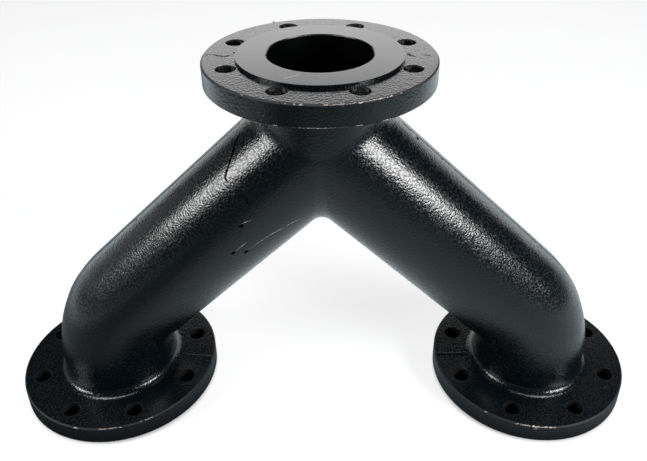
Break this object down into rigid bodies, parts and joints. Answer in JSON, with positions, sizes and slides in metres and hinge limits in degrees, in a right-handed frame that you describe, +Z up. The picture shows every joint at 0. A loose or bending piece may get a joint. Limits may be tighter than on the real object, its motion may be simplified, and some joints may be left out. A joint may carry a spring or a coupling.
{
  "type": "flanged wye fitting",
  "caption": "Cast-iron flanged wye: one inlet flange on top splits into two slanted legs that bend down to two level outlet flanges.",
  "frame": {"origin": "on the plane of the two outlet faces, straight below the inlet's axis", "axes": "+Z up along the inlet's axis, +X along the line of the two outlets, +Y across the flanges"},
  "size_m": [0.7049, 0.22, 0.406],
  "materials": {
    "black_painted_iron": "semi-gloss black paint over sand-cast iron"
  },
  "bodies": {
    "root": {"wye_casting": "black_painted_iron"}
  },
  "joints": []
}
